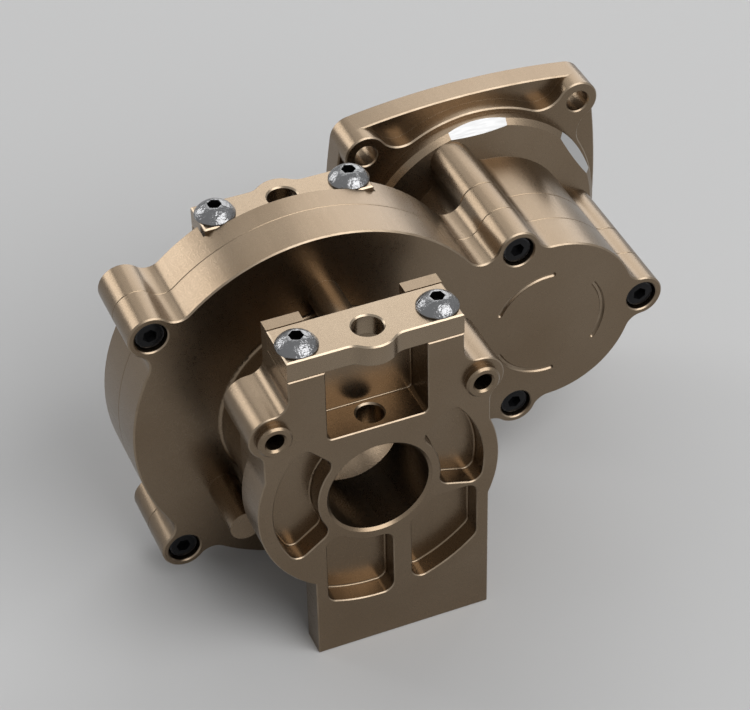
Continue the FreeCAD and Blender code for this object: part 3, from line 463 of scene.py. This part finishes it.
# The radius of a counterbore, how near its corner has to be to that, and the size of the cut.
MOUTH_RADIUS = 3.85 * MM
MOUTH_SLACK = 0.01 * MM
MOUTH_EASE = 0.30 * MM


def ease_mouths(form, screws):
    """Cuts the sharp corner off the mouth of the counterbore round each screw's head."""
    corners = set()
    for screw in screws:
        low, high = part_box(screw)
        across, up = (low.x + high.x) / 2, (low.z + high.z) / 2
        for edge in form.edges:
            ends = [vert.co for vert in edge.verts]
            off = max(abs(math.hypot(end.x - across, end.z - up) - MOUTH_RADIUS) for end in ends)
            if off < MOUTH_SLACK and max(end.y for end in ends) < low.y:
                corners.add(edge)
    bmesh.ops.bevel(form, geom=list(corners), offset=MOUTH_EASE, offset_type="OFFSET", segments=1,
                    profile=0.5, affect="EDGES", clamp_overlap=True)
    print("edges eased at the counterbores:", len(corners))


def finished_piece(node, *materials, sunk_screws=()):
    """A welded, smooth-shaded piece that stands for a node, with its cut edges marked.

    A second material goes on its milled flats. The mouths round its sunk screws are eased.
    """
    form = welded(node)
    if sunk_screws:
        ease_mouths(form, sunk_screws)
    mark = form.faces.layers.float.new(EDGE_MARK)
    form.faces.index_update()
    for edge in form.edges:
        edge.smooth = len(edge.link_faces) == 2 and edge.calc_face_angle(math.pi) < CRISP
    flats = milled_flats(form) if len(materials) > 1 else ()
    marked = 0
    for group in patches(form, lambda edge: edge.smooth):
        rim = rim_length(group)
        narrow = rim > 0 and STRIP[0] < 2 * area_of(group) / rim < STRIP[1]
        for face in group:
            face.smooth = True
            face[mark] = 1.0 if narrow else 0.0
            face.material_index = 1 if face in flats else 0
        marked += narrow
    mesh = bpy.data.meshes.new(node + "_finished")
    form.to_mesh(mesh)
    form.free()
    for material in materials:
        mesh.materials.append(material)
    piece = bpy.data.objects.new(node + "_finished", mesh)
    bpy.context.scene.collection.objects.link(piece)
    weigh = piece.modifiers.new("even_shading", "WEIGHTED_NORMAL")
    weigh.keep_sharp = True
    weigh.weight = 100
    settle(piece)
    print(node, "faces:", len(piece.data.polygons), "cut-edge strips:", marked,
          "faces of flats:", len(flats))
    return piece


def settle(piece):
    """Turns a piece's modifiers into plain mesh."""
    graph = bpy.context.evaluated_depsgraph_get()
    mesh = bpy.data.meshes.new_from_object(piece.evaluated_get(graph), depsgraph=graph,
                                           preserve_all_data_layers=True)
    mesh.name = piece.name
    old = piece.data
    piece.modifiers.clear()
    piece.data = mesh
    bpy.data.meshes.remove(old)


def place_on_body(piece, slot, *nodes):
    """The piece rides with the housing and stands for its nodes."""
    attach(piece, "root")
    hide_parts(*nodes)


CASE_SCREWS = ("case_screw_upper_left", "case_screw_lower_left")
LOBE_SCREWS = ("lobe_screw_upper", "lobe_screw_end", "lobe_screw_lower")
place_on_body(finished_piece("front_housing", case_bronze, sunk_screws=CASE_SCREWS + LOBE_SCREWS),
              "case_aluminium", "front_housing")
place_on_body(finished_piece("rear_housing", case_bronze), "case_aluminium", "rear_housing")
place_on_body(finished_piece("clutch_housing", case_bronze, milled_bare),
              "case_aluminium", "clutch_housing")
for node in ("front_link_bar", "rear_link_bar"):
    place_on_body(finished_piece(node, bar_bronze), "bar_aluminium", node)

# %% [markdown]
# ## Screws
#
# Four button-head screws hold the link bars and five cap screws hold the cases together. Each kind
# is one shape in several places, which is what Geometry Nodes are for: the tree turns a profile
# into a round body, cuts the hexagon socket, sets a copy on every point and joins the copies.
# The profile is a grid whose rows are bent round the axis, so its sizes are inputs of the tree.
# Before it copies, the tree writes two marks on the screw for the finishes to read: how far each
# point is from the screw's own axis, for turning rings and the rubbed rim, and which faces are in
# the socket, which the button heads' finish darkens with a painted shade.

# %% Screw tree
class Wiring:
    """Short hands for adding and joining nodes in one tree."""

    def __init__(self, tree):
        self.tree = tree

    def add(self, kind, settings=None, **inputs):
        """A node with its settings and inputs, each a value or a socket."""
        node = self.tree.nodes.new(kind)
        for key, value in (settings or {}).items():
            setattr(node, key, value)
        for key, value in inputs.items():
            self.feed(node, key.replace("_", " "), value)
        return node

    def feed(self, node, title, value):
        """Sets or joins one input, found by its title or its number."""
        entry = node.inputs[int(title)] if title.isdigit() else node.inputs[title]
        if isinstance(value, bpy.types.NodeSocket):
            self.tree.links.new(value, entry)
        else:
            entry.default_value = value

    def maths(self, operation, first, second=0.0):
        """The result of one operation on one or two values."""
        node = self.tree.nodes.new("ShaderNodeMath")
        node.operation = operation
        self.feed(node, "0", first)
        self.feed(node, "1", second)
        return node.outputs[0]

    def profile(self, along, values):
        """A value read from a row of points, evenly spaced along 0 to 1.

        A curve holds nothing below 0 or above 1, so it gets shares of the values' own span.
        """
        node = self.tree.nodes.new("ShaderNodeFloatCurve")
        curve = node.mapping.curves[0]
        steps = len(values) - 1
        lowest, span = min(values), max(values) - min(values)
        for number, value in enumerate((value - lowest) / span for value in values):
            if number == 0 or number == steps:
                point = curve.points[0 if number == 0 else -1]
                point.location = (number / steps, value)
            else:
                point = curve.points.new(number / steps, value)
            point.handle_type = "VECTOR"
        node.mapping.update()
        self.feed(node, "Value", along)
        return self.maths("ADD", self.maths("MULTIPLY", node.outputs["Value"], span), lowest)


PROFILE_ROWS = 33


def turned_body(wire, profile, radius, height, sides):
    """A grid bent round the Z axis: the profile is in shares of the radius and the height.

    A curve is kept as 256 short steps, so 32 rows of faces meet them exactly. The spare rows lie
    on the last point, where the merge takes them away.
    """
    profile = profile + [profile[-1]] * (PROFILE_ROWS - len(profile))
    grid = wire.add("GeometryNodeMeshGrid", Size_X=1.0, Size_Y=1.0, Vertices_X=len(profile),
                    Vertices_Y=sides + 1)
    where = wire.add("ShaderNodeSeparateXYZ", Vector=wire.add("GeometryNodeInputPosition").outputs[0])
    along = wire.maths("ADD", where.outputs["X"], 0.5)
    turn = wire.maths("MULTIPLY", wire.maths("ADD", where.outputs["Y"], 0.5), 2 * math.pi)
    out = wire.maths("MULTIPLY", wire.profile(along, [point[0] for point in profile]), radius)
    rise = wire.maths("MULTIPLY", wire.profile(along, [point[1] for point in profile]), height)
    spot = wire.add("ShaderNodeCombineXYZ", X=wire.maths("MULTIPLY", out, wire.maths("COSINE", turn)),
                    Y=wire.maths("MULTIPLY", out, wire.maths("SINE", turn)), Z=rise)
    bent = wire.add("GeometryNodeSetPosition", Geometry=grid.outputs["Mesh"], Position=spot.outputs[0])
    return wire.add("GeometryNodeMergeByDistance", Geometry=bent.outputs[0], Distance=WELD).outputs[0]


AXIS_MARK = "axis_distance"
SOCKET_MARK = "in_socket"
MARK_MARGIN = 0.01 * MM


def stored(wire, body, title, domain, value):
    """The body with a named number on its points or faces."""
    return wire.add("GeometryNodeStoreNamedAttribute", {"data_type": "FLOAT", "domain": domain},
                    Geometry=body, Name=title, Value=value).outputs[0]


def screw_marks(wire, body, head_radius, head_height, corner, socket_depth):
    """The body with its distance from the axis, in head radii, and its socket marked."""
    where = wire.add("ShaderNodeSeparateXYZ", Vector=wire.add("GeometryNodeInputPosition").outputs[0])
    out = wire.maths("SQRT", wire.maths("ADD", wire.maths("POWER", where.outputs["X"], 2.0),
                                        wire.maths("POWER", where.outputs["Y"], 2.0)))
    body = stored(wire, body, AXIS_MARK, "POINT", wire.maths("DIVIDE", out, head_radius))
    inside = wire.maths("LESS_THAN", out, wire.maths("ADD", corner, MARK_MARGIN))
    top = wire.maths("SUBTRACT", head_height, MARK_MARGIN)
    under = wire.maths("LESS_THAN", where.outputs["Z"], top)
    bottom = wire.maths("SUBTRACT", wire.maths("SUBTRACT", head_height, socket_depth), MARK_MARGIN)
    over = wire.maths("GREATER_THAN", where.outputs["Z"], bottom)
    return stored(wire, body, SOCKET_MARK, "FACE",
                  wire.maths("MULTIPLY", inside, wire.maths("MULTIPLY", under, over)))


SCREW_SIDES = 48
SCREW_CRISP = math.radians(28)
KEY_SIDES = 6
TREE_INPUTS = (("Geometry", "NodeSocketGeometry"), ("Head Radius", "NodeSocketFloat"),
               ("Head Height", "NodeSocketFloat"), ("Socket Width", "NodeSocketFloat"),
               ("Socket Depth", "NodeSocketFloat"), ("Head Turn", "NodeSocketVector"),
               ("Finish", "NodeSocketMaterial"))


def screw_tree(name, profile):
    """A tree that sets one screw on every point, with its sizes as named inputs."""
    tree = bpy.data.node_groups.new(name, "GeometryNodeTree")
    for title, kind in TREE_INPUTS:
        tree.interface.new_socket(title, in_out="INPUT", socket_type=kind)
    tree.interface.new_socket("Geometry", in_out="OUTPUT", socket_type="NodeSocketGeometry")
    wire = Wiring(tree)
    given = tree.nodes.new("NodeGroupInput").outputs
    body = turned_body(wire, profile, given["Head Radius"], given["Head Height"], SCREW_SIDES)
    corner = wire.maths("MULTIPLY", given["Socket Width"], 1 / math.sqrt(3))
    deep = wire.maths("MULTIPLY", given["Socket Depth"], 2.0)
    cutter = wire.add("GeometryNodeMeshCylinder", Vertices=KEY_SIDES, Radius=corner, Depth=deep)
    lift = wire.add("ShaderNodeCombineXYZ", Z=given["Head Height"])
    raised = wire.add("GeometryNodeTransform", Geometry=cutter.outputs["Mesh"],
                      Translation=lift.outputs[0])
    socketed = wire.add("GeometryNodeMeshBoolean", {"operation": "DIFFERENCE"})
    tree.links.new(body, socketed.inputs[0])
    tree.links.new(raised.outputs[0], socketed.inputs[1])
    marked = screw_marks(wire, socketed.outputs[0], given["Head Radius"], given["Head Height"], corner,
                         given["Socket Depth"])
    angle = wire.add("GeometryNodeInputMeshEdgeAngle").outputs[0]
    crisp = wire.add("FunctionNodeCompare", {"data_type": "FLOAT", "operation": "LESS_THAN"})
    wire.feed(crisp, "0", angle)
    wire.feed(crisp, "1", SCREW_CRISP)
    shaded = wire.add("GeometryNodeSetShadeSmooth", {"domain": "FACE"}, Geometry=marked)
    edged = wire.add("GeometryNodeSetShadeSmooth", {"domain": "EDGE"}, Geometry=shaded.outputs[0])
    tree.links.new(crisp.outputs[0], edged.inputs["Shade Smooth"])
    clock = wire.add("GeometryNodeInputNamedAttribute", {"data_type": "FLOAT"}, Name="clocking")
    about = wire.add("ShaderNodeCombineXYZ", Z=clock.outputs["Attribute"])
    copies = wire.add("GeometryNodeInstanceOnPoints", Points=given["Geometry"],
                      Instance=edged.outputs[0], Rotation=given["Head Turn"])
    clocked = wire.add("GeometryNodeRotateInstances", Instances=copies.outputs[0],
                       Rotation=about.outputs[0])
    joined = wire.add("GeometryNodeRealizeInstances", Geometry=clocked.outputs[0])
    finished = wire.add("GeometryNodeSetMaterial", Geometry=joined.outputs[0],
                        Material=given["Finish"])
    out = tree.nodes.new("NodeGroupOutput")
    tree.links.new(finished.outputs[0], out.inputs[0])
    return tree


def run_tree(name, tree, points, clocking, sizes):
    """The tree's result on a few points, as one plain mesh object."""
    mesh = bpy.data.meshes.new(name)
    mesh.from_pydata(points, [], [])
    turns = mesh.attributes.new("clocking", "FLOAT", "POINT")
    turns.data.foreach_set("value", clocking)
    piece = bpy.data.objects.new(name, mesh)
    bpy.context.scene.collection.objects.link(piece)
    grower = piece.modifiers.new("screws", "NODES")
    grower.node_group = tree
    for entry in tree.interface.items_tree:
        if entry.in_out == "INPUT" and entry.name in sizes:
            grower[entry.identifier] = sizes[entry.name]
    settle(piece)
    print(name, "screws:", len(points), "faces:", len(piece.data.polygons))
    return piece


# %% [markdown]
# ### Button heads
#
# A button head is a low dome on a thin rim. The dome is part of a ball, from the flat round the
# socket down to the rim, and below it the shank goes into the bar. The steel is plated in a
# drum, where the screws knock against each other. So the dome is glossy but mottled: shallow
# dents a millimetre wide break the picture of the lamps into patches. Each key left its socket at
# a turn of its own.

# %% Button-head screws
# Both kinds of screw take the same key, so the socket's sizes are shared.
SOCKET_WIDTH = 3.0 * MM
SOCKET_DEPTH = 2.0 * MM
BUTTON_HEAD = 4.75 * MM
BUTTON_RISE = 2.75 * MM
BUTTON_LENGTH = 16.0 * MM
BUTTON_SHANK = 2.5 * MM
BUTTON_CROWN = 1.95 * MM
BUTTON_EDGE = 0.4 * MM


def dome_profile(steps):
    """Half of a button-head screw, in shares of the head's radius and height."""
    middle = (BUTTON_CROWN ** 2 + BUTTON_RISE ** 2 - BUTTON_HEAD ** 2 - BUTTON_EDGE ** 2) / (
        2 * (BUTTON_RISE - BUTTON_EDGE))
    ball = math.hypot(BUTTON_CROWN, BUTTON_RISE - middle)
    first = math.atan2(BUTTON_RISE - middle, BUTTON_CROWN)
    last = math.atan2(BUTTON_EDGE - middle, BUTTON_HEAD)
    points = [(0.0, 1.0)]
    for step in range(steps + 1):
        turn = first + (last - first) * step / steps
        points.append((ball * math.cos(turn) / BUTTON_HEAD,
                       (middle + ball * math.sin(turn)) / BUTTON_RISE))
    # Below the dome come the rim, the seat, the shank and its chamfered tip.
    shank = BUTTON_SHANK / BUTTON_HEAD
    length = BUTTON_LENGTH / BUTTON_RISE
    points += [(1.0, 0.04), (0.98, 0.0), (shank, 0.0), (shank, -length + 0.15),
               (shank - 0.08, -length), (0.0, -length)]
    return points


def mark_value(tree, title):
    """A number that the piece carries on its points or faces."""
    node = tree.nodes.new("ShaderNodeAttribute")
    node.attribute_name = title
    return node.outputs["Fac"]


def rings(tree, fineness):
    """Faint rings about the screw's axis, so many from the axis to the rim."""
    reach = tree.nodes.new("ShaderNodeCombineXYZ")
    tree.links.new(mark_value(tree, AXIS_MARK), reach.inputs["X"])
    return noise(tree, reach.outputs[0], fineness, detail=2.0, rough=0.6)


SMEAR_WAVES = 900.0
DENT_WAVES, DENT_DEPTH = 1150.0, 0.26 * MM
HEAD_ROUND = 0.08 * MM
BUTTON_RINGS, BUTTON_RING_DEPTH = 34.0, 0.006 * MM


def plated_steel(name, tone, socket_shade_tone, roughness):
    """Turned, plated steel with a painted shade in its socket."""
    material, shader = plain_material(name, tone, roughness, metallic=1.0)
    tree = material.node_tree
    place = tree.nodes.new("ShaderNodeTexCoord").outputs["Object"]
    in_socket = mark_value(tree, SOCKET_MARK)
    # The socket's faces get a near-black colour: a painted shade.
    tree.links.new(blend_colours(tree, in_socket, tone, socket_shade_tone), shader.inputs["Base Color"])
    # Smears make it a little glossier or duller, and the socket, which carries a painted shade, is
    # duller still.
    smears = spread(tree, noise(tree, place, SMEAR_WAVES, detail=3.0, rough=0.6),
                    roughness - 0.06, roughness + 0.10)
    tree.links.new(sum_of(tree, smears, spread(tree, in_socket, 0.0, 0.25, 0.0, 1.0)),
                   shader.inputs["Roughness"])
    dents = noise(tree, place, DENT_WAVES, detail=2.0, rough=0.55)
    dented = relief(tree, dents, DENT_DEPTH, strength=0.85, below=blunted(tree, HEAD_ROUND))
    turned = relief(tree, rings(tree, BUTTON_RINGS), BUTTON_RING_DEPTH, strength=0.5, below=dented)
    tree.links.new(turned, shader.inputs["Normal"])
    return material


# The socket colour of the button heads is a painted shade.
bright_steel = plated_steel("bright_steel", tone=(0.22, 0.22, 0.223),
                            socket_shade_tone=(0.02, 0.02, 0.02), roughness=0.20)
BUTTON_SCREWS = ("bar_screw_front_left", "bar_screw_front_right",
                 "bar_screw_rear_left", "bar_screw_rear_right")
BUTTON_TURNS = [0.66, 0.76, 0.60, 0.70]
DOME_STEPS = 12
button_points = []
for node in BUTTON_SCREWS:
    low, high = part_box(node)
    button_points.append(((low.x + high.x) / 2, (low.y + high.y) / 2, high.z - BUTTON_RISE))
button_tree = screw_tree("button_head_screw", dome_profile(DOME_STEPS))
button_screws = run_tree("button_screws", button_tree, button_points, BUTTON_TURNS, {
    "Head Radius": BUTTON_HEAD, "Head Height": BUTTON_RISE, "Socket Width": SOCKET_WIDTH,
    "Socket Depth": SOCKET_DEPTH, "Head Turn": (0.0, 0.0, 0.0), "Finish": bright_steel})
place_on_body(button_screws, "bright_screw", *BUTTON_SCREWS)

# %% [markdown]
# ### Cap screws
#
# The case's screws are cap screws in black oxide, sunk in counterbores. Only the top of the head
# shows: a flat ring with a turned edge round the socket. They lie along the depth, head forward.
# The oxide is a thin black skin under oil, so it is nearly as glossy as paint, and the turned edge,
# which every key and finger meets first, is rubbed to grey.

# %% Cap screws
CAP_HEAD = 3.5 * MM
CAP_RISE = 4.0 * MM
CAP_SHANK = 2.0 * MM
CAP_RINGS, CAP_RING_DEPTH = 26.0, 0.005 * MM
WEAR_WAVES = 1500.0
OIL_WAVES = 2600.0
# How far out on the head the rubbing starts and where it is full, in head radii.
RUBBED_FROM, RUBBED_FULL = 0.82, 0.97
OXIDE_METALLIC = 0.4
OXIDE_SHEEN = 0.2


def cap_profile(shank, length):
    """Half of a cap screw, in shares of the head's radius and height."""
    return [(0.0, 1.0), (0.84, 1.0), (0.93, 0.975), (0.98, 0.93), (1.0, 0.87), (1.0, 0.02),
            (0.98, 0.0), (shank, 0.0), (shank, -length + 0.1), (shank - 0.08, -length), (0.0, -length)]


def oiled_oxide(name, tone, rubbed_tone, roughness):
    """Black oxide under oil, with a rubbed turned edge and faint rings on the flat."""
    material, shader = plain_material(name, tone, roughness, metallic=OXIDE_METALLIC)
    shader.inputs["Specular IOR Level"].default_value = OXIDE_SHEEN
    tree = material.node_tree
    place = tree.nodes.new("ShaderNodeTexCoord").outputs["Object"]
    outward = spread(tree, mark_value(tree, AXIS_MARK), 0.0, 1.0, RUBBED_FROM, RUBBED_FULL)
    patchy = spread(tree, noise(tree, place, WEAR_WAVES, detail=2.0), 0.0, 0.8)
    wear_and_highlight_patches = sum_of(tree, outward, patchy, "MULTIPLY")
    tree.links.new(blend_colours(tree, wear_and_highlight_patches, tone, rubbed_tone), shader.inputs["Base Color"])
    oily = noise(tree, place, OIL_WAVES, detail=2.0)
    tree.links.new(spread(tree, oily, roughness - 0.05, roughness + 0.07), shader.inputs["Roughness"])
    turned = relief(tree, rings(tree, CAP_RINGS), CAP_RING_DEPTH, strength=0.5)
    tree.links.new(turned, shader.inputs["Normal"])
    return material


black_oxide = oiled_oxide("black_oxide", tone=(0.010, 0.010, 0.011),
                          rubbed_tone=(0.10, 0.10, 0.104), roughness=0.18)
FORWARD = (math.pi / 2, 0.0, 0.0)
CAP_SETS = (("case_cap_screws", CASE_SCREWS, [0.3, 0.9]),
            ("lobe_cap_screws", LOBE_SCREWS, [0.1, 0.5, 0.8]))
for name, nodes, clocking in CAP_SETS:
    points = []
    for node in nodes:
        low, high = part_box(node)
        points.append(((low.x + high.x) / 2, low.y + CAP_RISE, (low.z + high.z) / 2))
    # The screws of one set are equally long, so the last one's length serves for all.
    reach = high.y - low.y - CAP_RISE
    tree = screw_tree(name + "_tree", cap_profile(CAP_SHANK / CAP_HEAD, reach / CAP_RISE))
    piece = run_tree(name, tree, points, clocking, {
        "Head Radius": CAP_HEAD, "Head Height": CAP_RISE, "Socket Width": SOCKET_WIDTH,
        "Socket Depth": SOCKET_DEPTH, "Head Turn": FORWARD, "Finish": black_oxide})
    place_on_body(piece, "black_screw", *nodes)

# %% [markdown]
# ## The end
#
# The dressed model has to keep the size of the measured one.

# %% The end
print("scene built")
